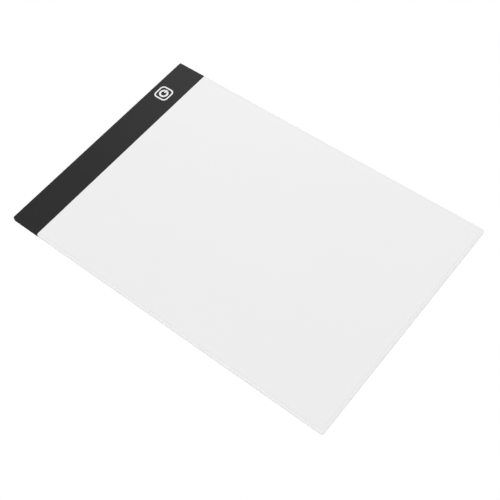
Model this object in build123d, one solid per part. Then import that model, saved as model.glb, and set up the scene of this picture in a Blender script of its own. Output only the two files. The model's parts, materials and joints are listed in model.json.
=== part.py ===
"""Edge-lit LED light box (tracing pad), A4 size, USB powered.

Frame: millimetres. X runs along the pad with the black control head at -X, Y across it, Z up.
The origin is the centre of the pad's footprint, on the surface that the four feet stand on.

The pad is a white moulded back cover (a shallow tray) that holds, from the floor up, a reflector
sheet, the light guide plate, a diffuser film and the opal front panel. At -X a black head cover
snaps over the tray and hides the LED bar, the control board and the USB socket. The key on the
head cover is a capacitive one: it has no travel, so nothing on the pad moves.
"""

from build123d import *

import os

# ---------------------------------------------------------------- driving dimensions
PAD_LENGTH = 330.0
PAD_WIDTH = 220.0
BODY_THICKNESS = 5.0
HEAD_LENGTH = 30.5
CORNER_RADIUS = 1.6
TOP_EDGE_RADIUS = 1.4
BOTTOM_EDGE_RADIUS = 0.4
SEAM = 0.1  # gap between neighbouring covers

FOOT_STANDOFF = 0.6
FOOT_DIAMETER = 10.0
FOOT_RECESS_DEPTH = 0.4
FOOT_INSET_X = 17.0
FOOT_INSET_Y = 17.0
ADHESIVE = 0.1

FLOOR = 1.0
REFLECTOR = 0.2
GUIDE = 2.0
FILM = 0.2
PANEL = 1.6
RIM = 2.0
LEDGE = 2.4
TAPE = 0.1
PANEL_TAPE_WIDTH = 2.0
PANEL_GAP = 0.02  # between the front panel and the rim
PANEL_EDGE_RADIUS = 0.02
POCKET_CORNER_RADIUS = 0.8  # where the front panel lies
WELL_CORNER_RADIUS = 1.0  # where the light guide lies

HEAD_PLATE = 1.2
SKIRT = 1.2
SKIRT_CLEARANCE = 0.1
INNER_WALL = 1.2
HEAD_RIB_Y = (-95.0, -65.0, -35.0, -5.0, 22.0, 46.0)
HEAD_RIB_THICKNESS = 0.8
HEAD_RIB_DEPTH = 1.0

LED_COUNT = 40
LED_PITCH = 5.1
LED_SIZE = (0.8, 3.0, 1.4)  # depth, length, height
LED_WINDOW = (2.2, 0.9)  # length, height
LED_WINDOW_DEPTH = 0.35
LED_PHOSPHOR_DEPTH = 0.3
LED_RESISTOR = (0.35, 1.0, 0.5)  # depth, length, height
LED_BAR_LENGTH = 206.4
LED_BAR_THICKNESS = 0.8

BOARD_THICKNESS = 0.8
BOARD_WIDTH = 16.0
BOARD_LENGTH = 45.3
BOARD_STANDOFF = 0.3
WIRE_RADIUS = 0.4

KEY_OUTLINE = 14.8
KEY_OUTLINE_RADIUS = 4.2
KEY_OUTLINE_STROKE = 1.4
KEY_RING_DIAMETER = 8.9
KEY_STROKE = 1.8
KEY_BAR_WIDTH = 1.7
KEY_BAR_LENGTH = 3.6
KEY_BAR_RISE = 2.9  # from the ring's middle to the bar's middle
KEY_GAP = 0.4  # clear space each side of the bar
INK = 0.05

# ---------------------------------------------------------------- derived levels and places
HALF_L = PAD_LENGTH / 2
HALF_W = PAD_WIDTH / 2
BASE_Z = FOOT_STANDOFF
TOP_Z = BASE_Z + BODY_THICKNESS
FLOOR_Z = BASE_Z + FLOOR
GUIDE_Z = FLOOR_Z + REFLECTOR
GUIDE_TOP = GUIDE_Z + GUIDE
PANEL_Z = TOP_Z - PANEL
LEDGE_Z = PANEL_Z - TAPE
HEAD_CEILING = TOP_Z - HEAD_PLATE

HEAD_EDGE = -HALF_L + HEAD_LENGTH
POCKET_X = HALF_L - RIM
POCKET_Y = HALF_W - RIM
WELL_X = POCKET_X - LEDGE
WELL_Y = POCKET_Y - LEDGE

INSET = SKIRT + SKIRT_CLEARANCE
INNER_WALL_TOP = HEAD_CEILING - 0.2
INNER_CORNER_RADIUS = CORNER_RADIUS - INSET

GUIDE_ENTRY_X = HEAD_EDGE - 5.0
GUIDE_END_X = WELL_X - 0.4
GUIDE_HALF_W = WELL_Y - 0.3
LED_FACE_X = GUIDE_ENTRY_X - 0.2
BAR_FRONT_X = LED_FACE_X - LED_SIZE[0]
BAR_BACK_X = BAR_FRONT_X - LED_BAR_THICKNESS
RIB_FRONT_X = BAR_BACK_X - TAPE
RIB_THICKNESS = 1.2
RIB_HALF_LENGTH = 104.0
WIRE_GATE = (50.0, 58.0)  # gap in the LED rib, along Y, where the leads pass

SOCKET_X = -153.0
SOCKET_SIZE = (7.5, 5.5, 2.5)  # width, depth, height
SOCKET_SHEET = 0.3
SOCKET_MOUTH_Y = HALF_W - 0.7
SOCKET_BACK_Y = SOCKET_MOUTH_Y - SOCKET_SIZE[1]
SOCKET_Z = FLOOR_Z + 0.15
MOUTH_HALF_WIDTH = 4.1
MOUTH_CLEARANCE = 0.15  # above the shell and below it
MOUTH_CORNER_RADIUS = 0.6
SOCKET_FLAT = 5.4  # width of the narrow lower side of the shell
BOARD_Z = FLOOR_Z + BOARD_STANDOFF
BOARD_TOP = BOARD_Z + BOARD_THICKNESS
BOARD_Y1 = HALF_W - INSET - INNER_WALL - 0.7
BOARD_Y0 = BOARD_Y1 - BOARD_LENGTH
CONTACT = (0.3, 0.12)  # width, thickness
CONTACT_PITCH = 0.65

KEY_X, KEY_Y = -151.5, 71.4
ELECTRODE_RADIUS = 4.6
TOUCH_FOAM = 8.0

STAKES = [(SOCKET_X - 5.6, BOARD_Y0 + 3.6), (SOCKET_X + 5.6, BOARD_Y1 - 9.0)]
STAKE_RADIUS = 0.95
STAKE_HEAD_RADIUS = 1.6
STAKE_HEAD_HEIGHT = 0.5
STAKE_HEAD_EDGE = 0.35
BOARD_REST_RADIUS = 0.9
SNAPS_END = [-82.0, -28.0, 28.0, 82.0]  # Y of the snaps on the end skirt
SNAP_FRONT_X = -150.0
SNAP_REAR_X = -141.5
SNAP_WIDTH = 6.0
SNAP_CATCH = 0.7  # how far a hook reaches into its window
HOOK_LOW = 2.4
HOOK_TIP = 3.0
HOOK_TOP = 3.3
WINDOW_PLAY = 0.1  # above the hook and below it
LABEL_FIELD = (70.0, 28.0, 0.15)  # length, width, depth of the sunk field under the tray
GATE_Y = -30.0  # moulding gate mark under the tray
GATE_RADIUS = 1.6
GATE_DEPTH = 0.25

LEADS = {"lead_positive": (-147.6, 55.6), "lead_negative": (-150.4, 52.4)}  # X of run, Y of exit
LEAD_START_Y = BOARD_Y0 + 3.4
SOLDER_RADII = (1.0, 0.6)  # of the dome on the board and the dome on the LED bar
LEAD_Z = BOARD_TOP + INK + WIRE_RADIUS


# ---------------------------------------------------------------- small helpers
def slab(x0, x1, y0, y1, z0, z1):
    """A box from its lowest to its highest corner."""
    return Pos((x0 + x1) / 2, (y0 + y1) / 2, (z0 + z1) / 2) * Box(x1 - x0, y1 - y0, z1 - z0)


def rounded_slab(x0, x1, y0, y1, z0, z1, radius):
    """A box whose upright edges are rounded."""
    outline = RectangleRounded(x1 - x0, y1 - y0, radius)
    return Pos((x0 + x1) / 2, (y0 + y1) / 2, z0) * extrude(outline, z1 - z0)


def disc(x, y, z0, z1, radius):
    """An upright cylinder from z0 to z1."""
    return Pos(x, y, (z0 + z1) / 2) * Cylinder(radius, z1 - z0)


def group(solids):
    """Separate solids kept together as one node."""
    return Compound(children=[solid for item in solids for solid in item.solids()])


def edges_at(shape, z):
    """The horizontal edges that lie at height z."""
    return [e for e in shape.edges() if abs(e.bounding_box().min.Z - z) < 1e-4
            and abs(e.bounding_box().max.Z - z) < 1e-4]


def pad_block():
    """The closed outer form that the two covers share."""
    block = rounded_slab(-HALF_L, HALF_L, -HALF_W, HALF_W, BASE_Z, TOP_Z, CORNER_RADIUS)
    block = fillet(edges_at(block, TOP_Z), TOP_EDGE_RADIUS)
    return fillet(edges_at(block, BASE_Z), BOTTOM_EDGE_RADIUS)


# ---------------------------------------------------------------- casings
def snap_places():
    """Centre and direction into the pad of each snap, on the outside of the inner wall."""
    x_wall = -HALF_L + INSET
    y_wall = HALF_W - INSET
    places = [(x_wall, y, 0) for y in SNAPS_END]
    places.append((SNAP_FRONT_X, -y_wall, 90))
    places.append((SNAP_REAR_X, y_wall, -90))
    return places


def snap_windows():
    """Windows through the inner wall that the head cover's snaps catch in."""
    margin = 0.2
    window = slab(-margin, INNER_WALL + margin, -SNAP_WIDTH / 2 - margin, SNAP_WIDTH / 2 + margin,
                  HOOK_LOW - WINDOW_PLAY, HOOK_TOP + WINDOW_PLAY)
    return [Pos(x, y, 0) * Rot(0, 0, turn) * window for x, y, turn in snap_places()]


def snap_hooks():
    """Wedges on the inside of the skirt, with a lead-in below and a flat catch above."""
    reach = SNAP_CATCH + SKIRT_CLEARANCE
    outline = Polyline((0, HOOK_LOW), (0, HOOK_TOP), (reach, HOOK_TOP), (reach, HOOK_TIP), close=True)
    wedge = extrude(Plane.XZ * make_face(outline), SNAP_WIDTH / 2, both=True)
    wedge = Pos(-SKIRT_CLEARANCE, 0, 0) * wedge
    return [Pos(x, y, 0) * Rot(0, 0, turn) * wedge for x, y, turn in snap_places()]


def foot_places():
    """Centre of each foot, by name."""
    x, y = HALF_L - FOOT_INSET_X, HALF_W - FOOT_INSET_Y
    return {
        "foot_front_left": (-x, -y),
        "foot_front_right": (x, -y),
        "foot_rear_left": (-x, y),
        "foot_rear_right": (x, y),
    }


def inside_skirt(z0, z1):
    """The space inside the head cover's skirt, with its clearance, that the tray may fill."""
    return rounded_slab(-HALF_L + INSET, HEAD_EDGE + 20, -HALF_W + INSET, HALF_W - INSET,
                        z0, z1, INNER_CORNER_RADIUS)


def inner_wall():
    """Wall that stands inside the head cover's skirt, on three sides."""
    inner_face = INSET + INNER_WALL
    hollow = slab(-HALF_L + inner_face, HEAD_EDGE + 30, -HALF_W + inner_face, HALF_W - inner_face,
                  FLOOR_Z - 1, INNER_WALL_TOP + 1)
    wall = inside_skirt(FLOOR_Z - 0.2, INNER_WALL_TOP) - hollow
    return wall & slab(-HALF_L, HEAD_EDGE + SEAM, -HALF_W, HALF_W, 0, TOP_Z)


def back_cover():
    """White tray: floor, rim with a ledge round three sides, and the fittings inside the head."""
    tray = pad_block()
    pocket = rounded_slab(HEAD_EDGE - 20, POCKET_X, -POCKET_Y, POCKET_Y, LEDGE_Z, TOP_Z + 1,
                          POCKET_CORNER_RADIUS)
    well = rounded_slab(HEAD_EDGE - 20, WELL_X, -WELL_Y, WELL_Y, FLOOR_Z, TOP_Z,
                        WELL_CORNER_RADIUS)
    head = slab(-HALF_L - 1, HEAD_EDGE + SEAM, -HALF_W - 1, HALF_W + 1, BASE_Z - 1, TOP_Z + 1)
    head -= inside_skirt(BASE_Z, FLOOR_Z)
    tray = tray - pocket - well - head + inner_wall()

    guide_stop = slab(GUIDE_ENTRY_X, HEAD_EDGE + SEAM + 0.5, WELL_Y, HALF_W - INSET - 0.5,
                      FLOOR_Z - 0.1, GUIDE_TOP)
    tray = tray + guide_stop + mirror(guide_stop, Plane.XZ)

    for y0, y1 in ((-RIB_HALF_LENGTH, WIRE_GATE[0]), (WIRE_GATE[1], RIB_HALF_LENGTH)):
        tray += slab(RIB_FRONT_X - RIB_THICKNESS, RIB_FRONT_X, y0, y1, FLOOR_Z - 0.1, GUIDE_TOP)
    tray += slab(RIB_FRONT_X, LED_FACE_X, -RIB_HALF_LENGTH, RIB_HALF_LENGTH, FLOOR_Z - 0.1, GUIDE_Z)

    for x in (SOCKET_X - BOARD_WIDTH / 2 + 1, SOCKET_X + BOARD_WIDTH / 2 - 1):
        for y in (BOARD_Y0 + 8, (BOARD_Y0 + BOARD_Y1) / 2, BOARD_Y1 - 2):
            tray += disc(x, y, FLOOR_Z - 0.1, BOARD_Z, BOARD_REST_RADIUS)
    for x, y in STAKES:
        top = BOARD_TOP + STAKE_HEAD_HEIGHT
        post = disc(x, y, FLOOR_Z - 0.1, BOARD_TOP + 0.01, STAKE_RADIUS)
        stake_head = disc(x, y, BOARD_TOP, top, STAKE_HEAD_RADIUS)
        tray = tray + post + fillet(edges_at(stake_head, top), STAKE_HEAD_EDGE)

    for window in snap_windows():
        tray -= window
    tray -= slab(SOCKET_X - MOUTH_HALF_WIDTH, SOCKET_X + MOUTH_HALF_WIDTH,
                 HALF_W - INSET - INNER_WALL - 1, HALF_W, FLOOR_Z, TOP_Z)

    for x, y in foot_places().values():
        tray -= disc(x, y, BASE_Z - 1, BASE_Z + FOOT_RECESS_DEPTH, FOOT_DIAMETER / 2 + 0.2)
    length, width, depth = LABEL_FIELD
    tray -= rounded_slab(-length / 2, length / 2, -width / 2, width / 2, BASE_Z - 1, BASE_Z + depth, 2)
    tray -= disc(0, GATE_Y, BASE_Z - 1, BASE_Z + GATE_DEPTH, GATE_RADIUS)
    return tray + disc(0, GATE_Y, BASE_Z + 0.1, BASE_Z + GATE_DEPTH + 0.1, 0.5)


def head_cover():
    """Black cover of the control head: a plate with a full-height skirt on three sides."""
    region = slab(-HALF_L - 1, HEAD_EDGE, -HALF_W - 1, HALF_W + 1, BASE_Z - 1, TOP_Z + 1)
    shell = pad_block() & region
    shell -= rounded_slab(-HALF_L + SKIRT, HEAD_EDGE + 20, -HALF_W + SKIRT, HALF_W - SKIRT,
                          BASE_Z - 1, HEAD_CEILING, CORNER_RADIUS - SKIRT)
    for hook in snap_hooks():
        shell += hook

    half = HEAD_RIB_THICKNESS / 2
    z0, z1 = HEAD_CEILING - HEAD_RIB_DEPTH, HEAD_CEILING + 0.1
    x0, x1 = -HALF_L + INSET + INNER_WALL + 0.4, RIB_FRONT_X - RIB_THICKNESS - 1
    for y in HEAD_RIB_Y:
        shell += slab(x0, x1, y - half, y + half, z0, z1)
    spine_x = -HALF_L + HEAD_LENGTH * 0.4
    shell += slab(spine_x - half, spine_x + half, HEAD_RIB_Y[0], HEAD_RIB_Y[-1], z0, z1)

    mouth = slab(SOCKET_X - MOUTH_HALF_WIDTH, SOCKET_X + MOUTH_HALF_WIDTH,
                 HALF_W - SKIRT - 0.5, HALF_W + 1,
                 SOCKET_Z - MOUTH_CLEARANCE, SOCKET_Z + SOCKET_SIZE[2] + MOUTH_CLEARANCE)
    return shell - fillet(mouth.edges().filter_by(Axis.Y), MOUTH_CORNER_RADIUS)


# ---------------------------------------------------------------- optics
def front_panel():
    """Opal acrylic plate, flush with the rim and the head cover."""
    half_width = POCKET_Y - PANEL_GAP
    plate = slab(HEAD_EDGE + SEAM, POCKET_X - PANEL_GAP, -half_width, half_width, PANEL_Z, TOP_Z)
    corners = [e for e in plate.edges().filter_by(Axis.Z) if e.center().X > 0]
    plate = fillet(corners, POCKET_CORNER_RADIUS - PANEL_GAP)
    return fillet(edges_at(plate, TOP_Z), PANEL_EDGE_RADIUS)


def diffuser_film():
    return slab(HEAD_EDGE - 0.6, GUIDE_END_X, -GUIDE_HALF_W, GUIDE_HALF_W, GUIDE_TOP, GUIDE_TOP + FILM)


def light_guide_plate():
    """Clear acrylic plate, edge lit from -X, with polished corners eased by a small radius."""
    plate = slab(GUIDE_ENTRY_X, GUIDE_END_X, -GUIDE_HALF_W, GUIDE_HALF_W, GUIDE_Z, GUIDE_TOP)
    return fillet(plate.edges().filter_by(Axis.Z), 1.0)


def reflector_sheet():
    return slab(GUIDE_ENTRY_X, GUIDE_END_X, -GUIDE_HALF_W, GUIDE_HALF_W, FLOOR_Z, GUIDE_Z)


def panel_tapes():
    """Double-sided tape on the ledge, one strip to a side, with butt joints at the corners."""
    x0 = HEAD_EDGE + SEAM + 0.3
    x1, y1 = POCKET_X - 0.2, POCKET_Y - 0.2
    side = slab(x0, x1, y1 - PANEL_TAPE_WIDTH, y1, LEDGE_Z, PANEL_Z)
    end_y = y1 - PANEL_TAPE_WIDTH - 0.1
    return {
        "panel_tape_rear": side,
        "panel_tape_front": mirror(side, Plane.XZ),
        "panel_tape_end": slab(x1 - PANEL_TAPE_WIDTH, x1, -end_y, end_y, LEDGE_Z, PANEL_Z),
    }


def edge_tapes():
    """White reflective tape on the three edges of the light guide that have no LEDs."""
    side = slab(GUIDE_ENTRY_X + 4, GUIDE_END_X - 1.5, GUIDE_HALF_W, GUIDE_HALF_W + TAPE,
                GUIDE_Z, GUIDE_TOP)
    return {
        "edge_tape_rear": side,
        "edge_tape_front": mirror(side, Plane.XZ),
        "edge_tape_end": slab(GUIDE_END_X, GUIDE_END_X + TAPE, -GUIDE_HALF_W + 1.5,
                              GUIDE_HALF_W - 1.5, GUIDE_Z, GUIDE_TOP),
    }


# ---------------------------------------------------------------- LED bar
def led_places():
    first = -LED_PITCH * (LED_COUNT - 1) / 2
    return [first + LED_PITCH * i for i in range(LED_COUNT)]


def led_bar_board():
    half = LED_BAR_LENGTH / 2
    return slab(BAR_BACK_X, BAR_FRONT_X, -half, half, GUIDE_Z, GUIDE_TOP)


def led_package():
    """White lamp body with its window cut in the face that looks along +X."""
    depth, length, height = LED_SIZE
    body = slab(0, depth, -length / 2, length / 2, -height / 2, height / 2)
    return body - lamp_window(depth - LED_WINDOW_DEPTH, depth + 1)


def lamp_window(x0, x1):
    """A block with the outline of the lamp's window."""
    length, height = LED_WINDOW
    return slab(x0, x1, -length / 2, length / 2, -height / 2, height / 2)


def led_group(shape):
    """One copy of shape at each lamp, on the front of the bar."""
    middle = (GUIDE_Z + GUIDE_TOP) / 2
    return group([Pos(BAR_FRONT_X, y, middle) * shape for y in led_places()])


def led_packages():
    return led_group(led_package())


def led_phosphors():
    back = LED_SIZE[0] - LED_WINDOW_DEPTH
    return led_group(lamp_window(back, back + LED_PHOSPHOR_DEPTH))


def led_resistors():
    """A chip resistor in every second space between lamps."""
    middle = (GUIDE_Z + GUIDE_TOP) / 2
    depth, length, height = LED_RESISTOR
    chip = Pos(BAR_FRONT_X + depth / 2, 0, middle) * Box(depth, length, height)
    return group([Pos(0, y + LED_PITCH / 2, 0) * chip for y in led_places()[:-1:2]])


def led_bar_tape():
    """Thermal tape between the bar and its rib, left out where the leads pass."""
    half = LED_BAR_LENGTH / 2
    strips = [(-half, WIRE_GATE[0]), (WIRE_GATE[1], half)]
    return group([slab(RIB_FRONT_X, BAR_BACK_X, y0, y1, GUIDE_Z, GUIDE_TOP) for y0, y1 in strips])


def light_seal_tape():
    """Reflective tape that bridges the LED bar and the edge of the light guide."""
    return slab(RIB_FRONT_X - RIB_THICKNESS, HEAD_EDGE - 0.8, -RIB_HALF_LENGTH, RIB_HALF_LENGTH,
                GUIDE_TOP, GUIDE_TOP + TAPE)


def light_seal_foam():
    """Foam strip pressed between the tape and the head cover, which keeps stray light in."""
    return slab(GUIDE_ENTRY_X, GUIDE_ENTRY_X + 3.6, -RIB_HALF_LENGTH, RIB_HALF_LENGTH,
                GUIDE_TOP + TAPE, HEAD_CEILING)


# ---------------------------------------------------------------- control board
def control_board():
    """Circuit board with a slot for the sunk USB socket and two holes for the heat stakes."""
    half = BOARD_WIDTH / 2
    board = slab(SOCKET_X - half, SOCKET_X + half, BOARD_Y0, BOARD_Y1, BOARD_Z, BOARD_TOP)
    board = fillet(board.edges().filter_by(Axis.Z), 0.6)
    slot_half = SOCKET_SIZE[0] / 2 + 0.1
    board -= slab(SOCKET_X - slot_half, SOCKET_X + slot_half, SOCKET_BACK_Y - 0.1, BOARD_Y1 + 1,
                  BOARD_Z - 1, BOARD_TOP + 1)
    for x, y in STAKES:
        board -= disc(x, y, BOARD_Z - 1, BOARD_TOP + 1, STAKE_RADIUS + 0.1)
    return board


def touch_electrode():
    return disc(KEY_X, KEY_Y, BOARD_TOP, BOARD_TOP + INK, ELECTRODE_RADIUS)


def touch_foam_pad():
    """Conductive foam that carries the key's field from the board to the cover."""
    half = TOUCH_FOAM / 2
    return rounded_slab(KEY_X - half, KEY_X + half, KEY_Y - half, KEY_Y + half,
                        BOARD_TOP + INK, HEAD_CEILING, 1)


def gull_lead(reach, rise, foot, width, thickness):
    """A gull-wing lead that leaves the package at x = 0 and lands on z = 0."""
    knee = reach - foot
    outline = Polyline((0, rise + thickness), (knee, rise + thickness), (knee, thickness),
                       (reach, thickness), (reach, 0), (knee - thickness, 0),
                       (knee - thickness, rise), (0, rise), close=True)
    return extrude(Plane.XZ * make_face(outline), width / 2, both=True)


CHIP = {"x": -154.2, "y": 87.5, "size": (3.9, 4.9, 1.25), "pins": 4, "pitch": 1.27}
MOSFET = {"x": -147.6, "y": 78.6, "size": (1.3, 2.9, 0.95)}
CAPACITOR_LARGE = (2.0, 1.25, 1.0)
CAPACITOR_SMALL = (1.6, 0.8, 0.7)
RESISTOR = (1.6, 0.8, 0.45)


def package_body(place):
    """Moulded package, held a little above the board, with a chamfered top."""
    dx, dy, dz = place["size"]
    z0 = BOARD_TOP + 0.1
    x, y = place["x"], place["y"]
    body = slab(x - dx / 2, x + dx / 2, y - dy / 2, y + dy / 2, z0, z0 + dz)
    return chamfer(edges_at(body, z0 + dz), 0.15)


def touch_controller_chip():
    body = package_body(CHIP)
    dx, dy, dz = CHIP["size"]
    dot = disc(CHIP["x"] - dx / 2 + 0.8, CHIP["y"] + dy / 2 - 0.8, BOARD_TOP + dz, TOP_Z, 0.3)
    return body - dot


def touch_controller_leads():
    lead = gull_lead(1.05, 0.55, 0.5, 0.42, 0.2)
    half = CHIP["size"][0] / 2
    first = -CHIP["pitch"] * (CHIP["pins"] - 1) / 2
    leads = []
    for i in range(CHIP["pins"]):
        y = CHIP["y"] + first + i * CHIP["pitch"]
        leads.append(Pos(CHIP["x"] + half, y, BOARD_TOP) * lead)
        leads.append(Pos(CHIP["x"] - half, y, BOARD_TOP) * Rot(0, 0, 180) * lead)
    return group(leads)


def dimmer_mosfet():
    return package_body(MOSFET)


def mosfet_leads():
    lead = gull_lead(0.55, 0.4, 0.3, 0.42, 0.15)
    half = MOSFET["size"][0] / 2
    x, y = MOSFET["x"], MOSFET["y"]
    pair = [Pos(x + half, y + dy, BOARD_TOP) * lead for dy in (-0.95, 0.95)]
    return group(pair + [Pos(x - half, y, BOARD_TOP) * Rot(0, 0, 180) * lead])


def chips(places, size):
    """Chip components of one size, each with its centre at a place on the board."""
    z = BOARD_TOP + size[2] / 2
    return [Pos(x, y, z) * Rot(0, 0, turn) * Box(*size) for x, y, turn in places]


def board_capacitors():
    left = SOCKET_X - 5.5
    large = chips([(left, 96.0, 90), (left, 92.4, 90)], CAPACITOR_LARGE)
    small = chips([(left, 84.0, 0), (left, 81.6, 0)], CAPACITOR_SMALL)
    return group(large + small)


def board_resistors():
    """Six resistors, two to a row."""
    first_x, first_y = SOCKET_X + 4.4, 84.6
    places = [(first_x + 1.9 * (i % 2), first_y + 2.2 * (i // 2), 90) for i in range(6)]
    return group(chips(places, RESISTOR))


# ---------------------------------------------------------------- USB socket
def socket_profile(shrink):
    """Outline of the shell across its mouth: square shoulders above, slanted sides below."""
    half_w = SOCKET_SIZE[0] / 2 - shrink
    half_flat = SOCKET_FLAT / 2 - shrink * 0.6
    low, high = shrink, SOCKET_SIZE[2] - shrink
    shoulder = 1.15
    outline = make_face(Polyline((-half_w, shoulder), (-half_w, high), (half_w, high),
                                 (half_w, shoulder), (half_flat, low), (-half_flat, low),
                                 close=True))
    return fillet(outline.vertices(), 0.45 if shrink == 0 else 0.25)


def socket_prism(shrink, y0, y1):
    solid = extrude(Plane.XZ * socket_profile(shrink), -(y1 - y0))
    return Pos(SOCKET_X, y0, SOCKET_Z) * solid


def usb_shell():
    """Folded steel shell, open at the mouth and at the back, with a solder tab each side."""
    shell = socket_prism(0, SOCKET_BACK_Y, SOCKET_MOUTH_Y)
    shell -= socket_prism(SOCKET_SHEET, SOCKET_BACK_Y - 1, SOCKET_MOUTH_Y + 1)
    half = SOCKET_SIZE[0] / 2
    for y in (SOCKET_BACK_Y + 0.3, SOCKET_BACK_Y + 1.8):
        tab = slab(half - 0.1, half + 1.1, y, y + 0.9, BOARD_TOP, BOARD_TOP + SOCKET_SHEET)
        shell = shell + Pos(SOCKET_X, 0, 0) * tab + Pos(SOCKET_X, 0, 0) * mirror(tab, Plane.YZ)
    return shell


def usb_contacts():
    """Five contact strips that run under the tongue and out to their pads on the board."""
    width, thickness = CONTACT
    y0, y1 = SOCKET_BACK_Y - 1.2, SOCKET_MOUTH_Y - 1.1
    strips = []
    for i in range(5):
        x = SOCKET_X + (i - 2) * CONTACT_PITCH
        strips.append(slab(x - width / 2, x + width / 2, y0, y1, BOARD_TOP, BOARD_TOP + thickness))
    return group(strips)


def usb_tongue():
    """Moulded insulator: a block that closes the back of the shell, and the contact tongue."""
    base = socket_prism(SOCKET_SHEET + 0.02, SOCKET_BACK_Y, SOCKET_BACK_Y + 1.3)
    z0 = BOARD_TOP + CONTACT[1]
    tongue = slab(SOCKET_X - 1.9, SOCKET_X + 1.9, SOCKET_BACK_Y + 1.2, SOCKET_MOUTH_Y - 0.9,
                  z0, z0 + 0.6)
    return base + tongue - usb_contacts()


# ---------------------------------------------------------------- leads
def lead_route(name):
    """Middle line of a lead: two runs joined by one arc, and the radius of that arc."""
    x, y = LEADS[name]
    bend = 0.45 * (BAR_BACK_X - x)
    points = [(x, LEAD_START_Y, LEAD_Z), (x, y, LEAD_Z), (BAR_BACK_X, y, LEAD_Z)]
    return FilletPolyline(*points, radius=bend), bend


def lead(name):
    """Insulated wire from its pad on the board, through the gate in the rib, to the LED bar."""
    path, _ = lead_route(name)
    return sweep(Plane(origin=path @ 0, z_dir=path % 0) * Circle(WIRE_RADIUS), path=path)


def print_lead(name, wire):
    """Bend radius and length of a lead, and its volume over its section times its length."""
    path, bend = lead_route(name)
    ratio = wire.volume / (Circle(WIRE_RADIUS).area * path.length)
    print(name, "radius", round(bend, 2), "length", round(path.length, 2), "ratio", round(ratio, 4))


def solder_joints():
    """A dome of solder where each lead meets the board and the LED bar."""
    board_dome, bar_dome = SOLDER_RADII
    domes = []
    for name, (x, y) in LEADS.items():
        on_board = Pos(x, LEAD_START_Y, BOARD_TOP) * Sphere(board_dome)
        on_board &= slab(x - 2, x + 2, LEAD_START_Y - 2, LEAD_START_Y + 2, BOARD_TOP, TOP_Z)
        on_bar = Pos(BAR_BACK_X, y, LEAD_Z) * Sphere(bar_dome)
        on_bar &= slab(BAR_BACK_X - 2, BAR_BACK_X, y - 2, y + 2, GUIDE_Z, GUIDE_TOP)
        domes += [on_board - lead(name), on_bar - lead(name)]
    return group(domes)


# ---------------------------------------------------------------- key symbol and feet
def touch_key_symbol():
    """Pad-printed key mark: a rounded frame round the standard power sign, upright towards +Y."""
    frame = RectangleRounded(KEY_OUTLINE, KEY_OUTLINE, KEY_OUTLINE_RADIUS)
    hole = KEY_OUTLINE - 2 * KEY_OUTLINE_STROKE
    frame -= RectangleRounded(hole, hole, KEY_OUTLINE_RADIUS - KEY_OUTLINE_STROKE)
    radius = KEY_RING_DIAMETER / 2
    ring = Circle(radius) - Circle(radius - KEY_STROKE)
    ring -= Pos(0, radius) * Rectangle(KEY_BAR_WIDTH + 2 * KEY_GAP, 2 * radius)
    bar = Pos(0, KEY_BAR_RISE) * RectangleRounded(KEY_BAR_WIDTH, KEY_BAR_LENGTH, 0.3)
    marks = [extrude(face, INK) for face in (frame, ring, bar)]
    return group([Pos(KEY_X, KEY_Y, TOP_Z) * mark for mark in marks])


def foot(x, y):
    """Silicone bumper with a softened rim, stuck in its recess."""
    top = BASE_Z + FOOT_RECESS_DEPTH - ADHESIVE
    return fillet(edges_at(disc(x, y, 0, top, FOOT_DIAMETER / 2), 0), 0.3)


def foot_adhesive_discs():
    z = BASE_Z + FOOT_RECESS_DEPTH
    places = foot_places().values()
    return group([disc(x, y, z - ADHESIVE, z, FOOT_DIAMETER / 2 - 0.2) for x, y in places])


# ---------------------------------------------------------------- all nodes
def nodes():
    """Every separate piece of the pad, by node name."""
    single = [back_cover, head_cover, front_panel, diffuser_film, light_guide_plate,
              reflector_sheet, led_bar_board, led_packages, led_phosphors, led_resistors,
              led_bar_tape, light_seal_tape, light_seal_foam, control_board, touch_electrode,
              touch_foam_pad, touch_controller_chip, touch_controller_leads, dimmer_mosfet,
              mosfet_leads, board_capacitors, board_resistors, usb_shell, usb_tongue,
              usb_contacts, solder_joints, touch_key_symbol, foot_adhesive_discs]
    made = {make.__name__: make() for make in single}
    made.update(panel_tapes())
    made.update(edge_tapes())
    for name in LEADS:
        made[name] = lead(name)
        print_lead(name, made[name])
    made.update({name: foot(x, y) for name, (x, y) in foot_places().items()})
    return made


os.makedirs("parts", exist_ok=True)
for node_name, shape in nodes().items():
    export_step(shape, f"parts/{node_name}.step")
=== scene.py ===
"""Looks of the light box: camera, light, floor and a procedural material for every piece."""

import json
import math

import bpy
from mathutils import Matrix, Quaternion, Vector

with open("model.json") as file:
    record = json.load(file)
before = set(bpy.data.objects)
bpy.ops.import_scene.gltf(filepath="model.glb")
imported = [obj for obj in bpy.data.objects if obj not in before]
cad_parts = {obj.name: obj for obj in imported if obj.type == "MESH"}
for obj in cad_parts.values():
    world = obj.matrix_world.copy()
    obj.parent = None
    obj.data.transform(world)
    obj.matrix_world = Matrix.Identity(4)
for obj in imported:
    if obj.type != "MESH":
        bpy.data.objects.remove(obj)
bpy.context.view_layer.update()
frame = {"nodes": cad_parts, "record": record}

# ---------------------------------------------------------------- camera
CAMERA_AT = Vector((0.3444, -0.3258, 0.6682))
CAMERA_LOOKS_AT = Vector((0.0226, -0.0170, 0.0056))
CAMERA_ROLL = math.radians(-8.72)
CAMERA_LENS = 70.41
CAMERA_SENSOR = 36
CAMERA_CLIP = (0.01, 50)

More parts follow.
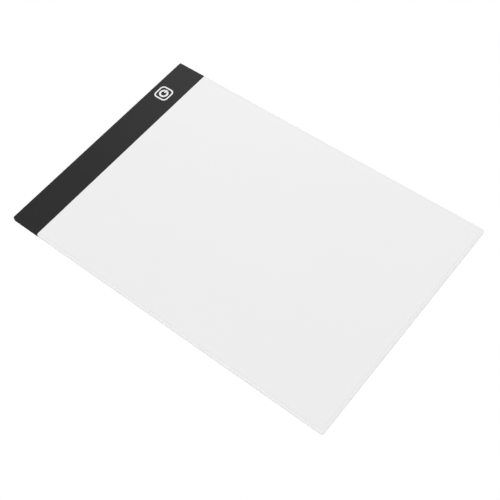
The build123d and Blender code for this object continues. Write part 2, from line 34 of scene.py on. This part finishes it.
# ---------------------------------------------------------------- light and floor
WHITE = (1, 1, 1, 1)
BACKDROP_STRENGTH = 1.0  # of the floor and the surround as the camera sees them
WORLD_STRENGTH = 0.9
HORIZON_STRENGTH = 1.75
HORIZON_TOP = 0.5  # sine of the elevation where the brighter ring ends
SOFTBOXES = {
    "far_left": {"at": (-0.78, 0.98, 0.88), "aim": (-0.1, 0.0, 0.0), "size": (0.6, 0.6), "power": 2.0},
    "near": {"at": (-0.3, -1.5, 0.5), "aim": (0.0, 0.0, 0.0), "size": (1.8, 0.6), "power": 2.5},
    "right": {"at": (1.5, 0.0, 0.5), "aim": (0.0, 0.0, 0.0), "size": (1.6, 0.6), "power": 1.0},
    "behind": {"at": (0.0, 1.5, 0.4), "aim": (0.0, 0.0, 0.0), "size": (1.8, 0.6), "power": 3.0},
}
FLOOR_RADIUS = 4.0
FLOOR_SIDES = 96
FLOOR_COLOR = (0.25, 0.25, 0.25, 1)
FLOOR_ROUGHNESS = 0.9
FLOOR_GLOSS = 0.1
FLOOR_GLOW = 0.67

# ---------------------------------------------------------------- patterns
MM = 0.001
NOISE_RANGE = (0.3, 0.7)  # where nearly all of a noise pattern's values lie
WAVE_PERIOD = math.tau / 20  # of the wave texture at a scale of 1
THREAD_WAVINESS = 0.3


def add_camera():
    data = bpy.data.cameras.new("camera")
    data.lens = CAMERA_LENS
    data.sensor_width = CAMERA_SENSOR
    data.clip_start, data.clip_end = CAMERA_CLIP
    camera = bpy.data.objects.new("camera", data)
    camera.location = CAMERA_AT
    level = (CAMERA_LOOKS_AT - CAMERA_AT).to_track_quat("-Z", "Y")
    camera.rotation_mode = "QUATERNION"
    camera.rotation_quaternion = level @ Quaternion((0, 0, 1), CAMERA_ROLL)
    bpy.context.scene.collection.objects.link(camera)
    bpy.context.scene.camera = camera


def add_world():
    """A white surround, brighter in a ring at the horizon. The camera sees it as plain white."""
    world = bpy.data.worlds.new("studio")
    world.use_nodes = True
    tree = world.node_tree
    surround = tree.nodes["Background"]
    surround.inputs["Color"].default_value = WHITE
    place = tree.nodes.new("ShaderNodeTexCoord")
    axes = tree.nodes.new("ShaderNodeSeparateXYZ")
    tree.links.new(place.outputs["Generated"], axes.inputs["Vector"])
    ring = tree.nodes.new("ShaderNodeMapRange")
    ring.interpolation_type = "SMOOTHSTEP"
    ring.inputs["From Max"].default_value = HORIZON_TOP
    ring.inputs["To Min"].default_value = HORIZON_STRENGTH
    ring.inputs["To Max"].default_value = WORLD_STRENGTH
    tree.links.new(axes.outputs["Z"], ring.inputs["Value"])
    tree.links.new(ring.outputs["Result"], surround.inputs["Strength"])
    backdrop = tree.nodes.new("ShaderNodeBackground")
    backdrop.inputs["Color"].default_value = WHITE
    backdrop.inputs["Strength"].default_value = BACKDROP_STRENGTH
    path = tree.nodes.new("ShaderNodeLightPath")
    mix = tree.nodes.new("ShaderNodeMixShader")
    tree.links.new(path.outputs["Is Camera Ray"], mix.inputs["Fac"])
    tree.links.new(surround.outputs["Background"], mix.inputs[1])
    tree.links.new(backdrop.outputs["Background"], mix.inputs[2])
    tree.links.new(mix.outputs["Shader"], tree.nodes["World Output"].inputs["Surface"])
    bpy.context.scene.world = world
    bpy.context.scene.view_settings.view_transform = "Standard"


def add_softbox(name, at, aim, size, power):
    data = bpy.data.lights.new(name, "AREA")
    data.shape = "RECTANGLE"
    data.size, data.size_y = size
    data.energy = power
    light = bpy.data.objects.new(name, data)
    light.location = at
    light.rotation_mode = "QUATERNION"
    light.rotation_quaternion = (Vector(aim) - Vector(at)).to_track_quat("-Z", "Y")
    bpy.context.scene.collection.objects.link(light)


def add_floor():
    """A pale table, as white to the camera as the surround is."""
    angles = [math.tau * i / FLOOR_SIDES for i in range(FLOOR_SIDES)]
    rim = [(FLOOR_RADIUS * math.cos(a), FLOOR_RADIUS * math.sin(a), 0) for a in angles]
    mesh = bpy.data.meshes.new("floor")
    mesh.from_pydata(rim, [], [range(FLOOR_SIDES)])
    floor = bpy.data.objects.new("floor", mesh)
    bpy.context.scene.collection.objects.link(floor)
    mesh.materials.append(floor_material())


def floor_material():
    """Glows as a light table does, to light the pad's sides. Glossy rays don't see the glow."""
    material = bpy.data.materials.new("floor")
    material.use_nodes = True
    tree = material.node_tree
    shader = tree.nodes["Principled BSDF"]
    shader.inputs["Base Color"].default_value = FLOOR_COLOR
    shader.inputs["Roughness"].default_value = FLOOR_ROUGHNESS
    shader.inputs["Specular IOR Level"].default_value = FLOOR_GLOSS
    glow = tree.nodes.new("ShaderNodeEmission")
    glow.inputs["Strength"].default_value = FLOOR_GLOW
    lit = tree.nodes.new("ShaderNodeAddShader")
    white = tree.nodes.new("ShaderNodeEmission")
    white.inputs["Strength"].default_value = BACKDROP_STRENGTH
    path = tree.nodes.new("ShaderNodeLightPath")
    unmirrored = tree.nodes.new("ShaderNodeMixShader")
    seen = tree.nodes.new("ShaderNodeMixShader")
    tree.links.new(shader.outputs["BSDF"], lit.inputs[0])
    tree.links.new(glow.outputs["Emission"], lit.inputs[1])
    tree.links.new(path.outputs["Is Glossy Ray"], unmirrored.inputs["Fac"])
    tree.links.new(lit.outputs["Shader"], unmirrored.inputs[1])
    tree.links.new(shader.outputs["BSDF"], unmirrored.inputs[2])
    tree.links.new(path.outputs["Is Camera Ray"], seen.inputs["Fac"])
    tree.links.new(unmirrored.outputs["Shader"], seen.inputs[1])
    tree.links.new(white.outputs["Emission"], seen.inputs[2])
    tree.links.new(seen.outputs["Shader"], tree.nodes["Material Output"].inputs["Surface"])
    return material


# ---------------------------------------------------------------- building blocks of a material
class Look:
    """A Principled material whose patterns follow the piece's own coordinates. Sizes are in mm."""

    def __init__(self, name, **sockets):
        self.material = bpy.data.materials.new(name)
        self.material.use_nodes = True
        self.tree = self.material.node_tree
        self.shader = self.tree.nodes["Principled BSDF"]
        self.place = self.tree.nodes.new("ShaderNodeTexCoord").outputs["Object"]
        for socket, value in sockets.items():
            self.shader.inputs[socket.replace("_", " ")].default_value = value

    def add(self, kind, links=(), **values):
        """A node whose inputs are linked, by pairs of input and source, or set to values."""
        node = self.tree.nodes.new(kind)
        for socket, source in links:
            self.tree.links.new(source, node.inputs[socket])
        for socket, value in values.items():
            node.inputs[socket.replace("_", " ")].default_value = value
        return node

    def stretched(self, along, ratio):
        """The piece's coordinates, drawn out by a ratio along one axis."""
        scale = [1.0, 1.0, 1.0]
        scale["XYZ".index(along)] = 1 / ratio
        return self.add("ShaderNodeMapping", [("Vector", self.place)], Scale=scale).outputs["Vector"]

    def speckle(self, size, detail=2.0, place=None):
        """Soft random variation."""
        source = place or self.place
        node = self.add("ShaderNodeTexNoise", [("Vector", source)], Scale=1 / (size * MM), Detail=detail)
        return node.outputs["Fac"]

    def streaks(self, size, along, ratio=12.0):
        """Fine lines drawn out along one axis."""
        return self.speckle(size, place=self.stretched(along, ratio))

    def cells(self, size):
        """Round cells, dark in the middle, as in a foam or a printed dot pattern."""
        node = self.add("ShaderNodeTexVoronoi", [("Vector", self.place)], Scale=1 / (size * MM))
        return node.outputs["Distance"]

    def threads(self, size, along):
        """Even ridges that run along one axis of the XY plane."""
        node = self.add("ShaderNodeTexWave", [("Vector", self.place)],
                        Scale=WAVE_PERIOD / (size * MM), Distortion=THREAD_WAVINESS)
        node.bands_direction = "Y" if along == "X" else "X"
        return node.outputs["Fac"]

    def steps(self, pattern, low, high, smallest=0.0, largest=1.0):
        """The pattern with its range from low to high stretched to smallest to largest."""
        node = self.add("ShaderNodeMapRange", [("Value", pattern)])
        for socket, value in zip(("From Min", "From Max", "To Min", "To Max"),
                                 (low, high, smallest, largest)):
            node.inputs[socket].default_value = value
        return node.outputs["Result"]

    def greater(self, first, second):
        """The larger of two patterns."""
        node = self.add("ShaderNodeMath")
        node.operation = "MAXIMUM"
        self.tree.links.new(first, node.inputs[0])
        self.tree.links.new(second, node.inputs[1])
        return node.outputs["Value"]

    def paint(self, pattern, dark, light):
        """Base colour between two colours."""
        mix = self.add("ShaderNodeMix")
        mix.data_type = "RGBA"
        mix.inputs["A"].default_value = (*dark, 1)
        mix.inputs["B"].default_value = (*light, 1)
        self.tree.links.new(pattern, mix.inputs["Factor"])
        self.tree.links.new(mix.outputs["Result"], self.shader.inputs["Base Color"])

    def dull(self, pattern, smoothest, roughest):
        """Roughness between two values."""
        self.tree.links.new(self.steps(pattern, *NOISE_RANGE, smoothest, roughest),
                            self.shader.inputs["Roughness"])

    def emboss(self, pattern, height, strength=1.0):
        """Fine relief of a height in mm."""
        bump = self.add("ShaderNodeBump", [("Height", pattern)], Strength=strength,
                        Distance=height * MM)
        self.tree.links.new(bump.outputs["Normal"], self.shader.inputs["Normal"])


def grey(value):
    return (value, value, value)


# ---------------------------------------------------------------- casings
def white_abs():
    """Satin moulded plastic with a fine spark-eroded texture."""
    look = Look("white_abs")
    look.paint(look.speckle(9, 3), grey(0.775), grey(0.79))
    look.dull(look.speckle(4), 0.42, 0.52)
    look.emboss(look.speckle(0.35), 0.01, 0.4)
    return look


def black_abs():
    """Black moulded plastic, a little smoother than the tray, with a very fine texture."""
    look = Look("black_abs", Specular_IOR_Level=0.27)
    look.paint(look.speckle(12, 3), grey(0.0045), grey(0.0055))
    look.dull(look.speckle(5), 0.39, 0.42)
    look.emboss(look.speckle(0.3), 0.01, 0.4)
    return look


def opal_acrylic():
    """Milky acrylic with a satin front."""
    look = Look("opal_acrylic")
    look.paint(look.speckle(40), grey(0.785), grey(0.795))
    look.dull(look.speckle(15), 0.44, 0.5)
    look.emboss(look.speckle(0.2), 0.004, 0.3)
    return look


def key_ink():
    """White pad-printing ink, slightly uneven in cover."""
    look = Look("key_ink")
    look.paint(look.speckle(0.5, 4), grey(0.80), grey(0.85))
    look.dull(look.speckle(0.8), 0.5, 0.62)
    look.emboss(look.speckle(0.12), 0.004, 0.5)
    return look


def silicone():
    """Milky silicone that dust clings to."""
    look = Look("silicone", Subsurface_Weight=0.15, Subsurface_Scale=0.001)
    look.paint(look.speckle(1.2, 4), (0.62, 0.63, 0.64), (0.74, 0.75, 0.76))
    look.dull(look.speckle(0.6, 3), 0.45, 0.65)
    look.emboss(look.speckle(0.25), 0.01, 0.3)
    return look


# ---------------------------------------------------------------- sheets and tapes
def clear_acrylic():
    """Clear plate with the small printed dots that send the light up."""
    look = Look("clear_acrylic", Transmission_Weight=1.0, IOR=1.49)
    dots = look.steps(look.cells(2.4), low=0.25, high=0.3, smallest=1.0, largest=0.0)
    look.paint(dots, (0.95, 0.98, 0.97), (0.99, 0.99, 0.99))
    look.dull(dots, 0.03, 0.5)
    return look


def diffuser_film():
    """Frosted film with a fine bead coating."""
    look = Look("diffuser_film")
    look.paint(look.speckle(25), grey(0.83), grey(0.87))
    look.dull(look.speckle(3), 0.62, 0.75)
    look.emboss(look.cells(0.08), 0.004, 0.5)
    return look


def reflector_film():
    """Foamed white polyester, milky under a clear skin."""
    look = Look("reflector_film", Coat_Weight=0.2, Coat_Roughness=0.25)
    look.paint(look.speckle(18, 3), grey(0.88), grey(0.92))
    look.dull(look.speckle(2), 0.3, 0.4)
    look.emboss(look.speckle(0.3), 0.003, 0.4)
    return look


def mounting_tape():
    """Double-sided tissue tape, with its fibres showing."""
    look = Look("mounting_tape")
    fibres = look.greater(look.streaks(0.25, "X"), look.streaks(0.25, "Y"))
    look.paint(fibres, (0.62, 0.64, 0.64), (0.82, 0.83, 0.82))
    look.dull(fibres, 0.5, 0.75)
    look.emboss(fibres, 0.01, 0.5)
    return look


def white_tape():
    """White reflective polyester tape."""
    look = Look("white_tape")
    look.paint(look.streaks(0.8, "X"), grey(0.84), grey(0.9))
    look.dull(look.speckle(1.5), 0.28, 0.4)
    look.emboss(look.speckle(0.6), 0.006, 0.3)
    return look


def thermal_tape():
    """Grey thermal tape with a woven glass carrier."""
    look = Look("thermal_tape")
    weave = look.greater(look.threads(0.4, "X"), look.threads(0.4, "Y"))
    look.paint(weave, (0.5, 0.52, 0.54), (0.72, 0.74, 0.75))
    look.dull(look.speckle(0.5), 0.55, 0.7)
    look.emboss(weave, 0.01, 0.5)
    return look


# ---------------------------------------------------------------- foams
def sealing_foam():
    """Black open-cell foam, with painted shade darkening each pore towards its deepest middle."""
    look = Look("sealing_foam")
    pores = look.cells(0.35)
    # painted shade: the colour is darkest where each pore's relief is deepest
    look.paint(pores, grey(0.012), grey(0.07))
    look.dull(pores, 0.8, 0.95)
    look.emboss(pores, 0.15)
    return look


def conductive_foam():
    """Foam wrapped in a grey metallised weave."""
    look = Look("conductive_foam", Metallic=0.6)
    weave = look.greater(look.threads(0.3, "X"), look.threads(0.3, "Y"))
    look.paint(weave, (0.25, 0.25, 0.24), (0.55, 0.54, 0.52))
    look.dull(look.speckle(0.4), 0.4, 0.6)
    look.emboss(weave, 0.03)
    return look


# ---------------------------------------------------------------- electronics
def solder_mask(name, mask, over_copper, pitch):
    """Lacquered board, whose colour is lighter where a copper track runs under the lacquer."""
    look = Look(name, Coat_Weight=0.3, Coat_Roughness=0.15)
    lengthwise = look.steps(look.threads(pitch, "Y"), low=0.72, high=0.78)
    patches = look.steps(look.speckle(pitch * 4, detail=0.0), low=0.5, high=0.52)
    tracks = look.greater(lengthwise, patches)
    look.paint(tracks, mask, over_copper)
    look.dull(look.speckle(0.7), 0.3, 0.42)
    look.emboss(tracks, 0.02, 0.6)
    return look


def board_white():
    return solder_mask("board_white", (0.78, 0.79, 0.77), (0.88, 0.88, 0.85), 1.0)


def board_green():
    return solder_mask("board_green", (0.008, 0.085, 0.03), (0.03, 0.2, 0.08), 1.4)


def lamp_body():
    """White heat-proof moulding."""
    look = Look("lamp_body")
    look.paint(look.speckle(0.6, 3), (0.8, 0.8, 0.77), (0.88, 0.88, 0.86))
    look.dull(look.speckle(0.3), 0.35, 0.5)
    look.emboss(look.speckle(0.1), 0.003, 0.4)
    return look


def phosphor():
    """Clear silicone filled with yellow grains."""
    look = Look("phosphor", Coat_Weight=0.6, Coat_Roughness=0.1)
    grains = look.cells(0.09)
    look.paint(grains, (0.75, 0.5, 0.04), (0.95, 0.85, 0.25))
    look.dull(grains, 0.35, 0.6)
    look.emboss(grains, 0.01, 0.5)
    return look


def chip_black():
    """Black epoxy with a matte moulded grain."""
    look = Look("chip_black")
    look.paint(look.speckle(0.25, 4), grey(0.012), grey(0.03))
    look.dull(look.speckle(0.4), 0.55, 0.72)
    look.emboss(look.speckle(0.06), 0.006, 0.6)
    return look


def chip_ceramic():
    """Brown capacitor ceramic."""
    look = Look("chip_ceramic")
    look.paint(look.speckle(0.3, 4), (0.36, 0.23, 0.13), (0.5, 0.36, 0.24))
    look.dull(look.speckle(0.2), 0.4, 0.6)
    look.emboss(look.speckle(0.08), 0.004, 0.5)
    return look


def resistor_black():
    """Black overglaze on a chip resistor."""
    look = Look("resistor_black", Coat_Weight=0.4, Coat_Roughness=0.2)
    look.paint(look.speckle(0.3, 3), grey(0.015), grey(0.035))
    look.dull(look.speckle(0.2), 0.3, 0.45)
    look.emboss(look.speckle(0.15), 0.004, 0.4)
    return look


def metal(name, dark, light, smoothest, roughest, along, size=0.05):
    """Rolled or plated metal with fine lines along one axis."""
    look = Look(name, Metallic=1.0)
    lines = look.streaks(size, along)
    look.paint(look.speckle(size * 20, 3), dark, light)
    look.dull(lines, smoothest, roughest)
    look.emboss(lines, 0.002, 0.4)
    return look


def tinned_metal():
    return metal("tinned_metal", (0.6, 0.6, 0.58), (0.75, 0.75, 0.73), 0.25, 0.4, "X")


def gold_plating():
    return metal("gold_plating", (0.72, 0.5, 0.18), (0.86, 0.64, 0.28), 0.15, 0.3, "Y")


def steel_shell():
    return metal("steel_shell", (0.5, 0.5, 0.49), (0.62, 0.62, 0.61), 0.25, 0.42, "Y", 0.08)


def solder():
    """Bright solder, frosted in patches where it froze."""
    look = Look("solder", Metallic=1.0)
    frost = look.speckle(0.35, 4)
    look.paint(frost, (0.55, 0.56, 0.57), (0.76, 0.77, 0.78))
    look.dull(frost, 0.12, 0.4)
    look.emboss(frost, 0.01, 0.6)
    return look


def socket_plastic():
    """Black glass-filled insulator."""
    look = Look("socket_plastic")
    look.paint(look.streaks(0.15, "Y"), grey(0.01), grey(0.028))
    look.dull(look.speckle(0.2), 0.5, 0.68)
    look.emboss(look.speckle(0.08), 0.004, 0.5)
    return look


def wire_sheath(name, dark, light):
    """Extruded PVC insulation."""
    look = Look(name, Coat_Weight=0.15, Coat_Roughness=0.3)
    look.paint(look.speckle(0.8, 3), dark, light)
    look.dull(look.speckle(0.4), 0.38, 0.5)
    look.emboss(look.speckle(0.2), 0.006, 0.3)
    return look


def wire_red():
    return wire_sheath("wire_red", (0.42, 0.015, 0.012), (0.58, 0.03, 0.025))


def wire_black():
    return wire_sheath("wire_black", grey(0.012), grey(0.03))


LOOKS = [white_abs, black_abs, opal_acrylic, key_ink, silicone, clear_acrylic, diffuser_film,
         reflector_film, mounting_tape, white_tape, thermal_tape, sealing_foam, conductive_foam,
         board_white, board_green, lamp_body, phosphor, chip_black, chip_ceramic, resistor_black,
         tinned_metal, gold_plating, steel_shell, solder, socket_plastic, wire_red, wire_black]


def paint_nodes():
    """Every CAD node takes the look of its material slot in the record."""
    materials = {make.__name__: make().material for make in LOOKS}
    slots = {part["node"]: part["material_slot"] for part in frame["record"]["subparts"]}
    for name, node in frame["nodes"].items():
        for slot in node.material_slots:
            slot.material = materials[slots[name]]


add_camera()
add_world()
for softbox, setting in SOFTBOXES.items():
    add_softbox(softbox, **setting)
add_floor()
paint_nodes()
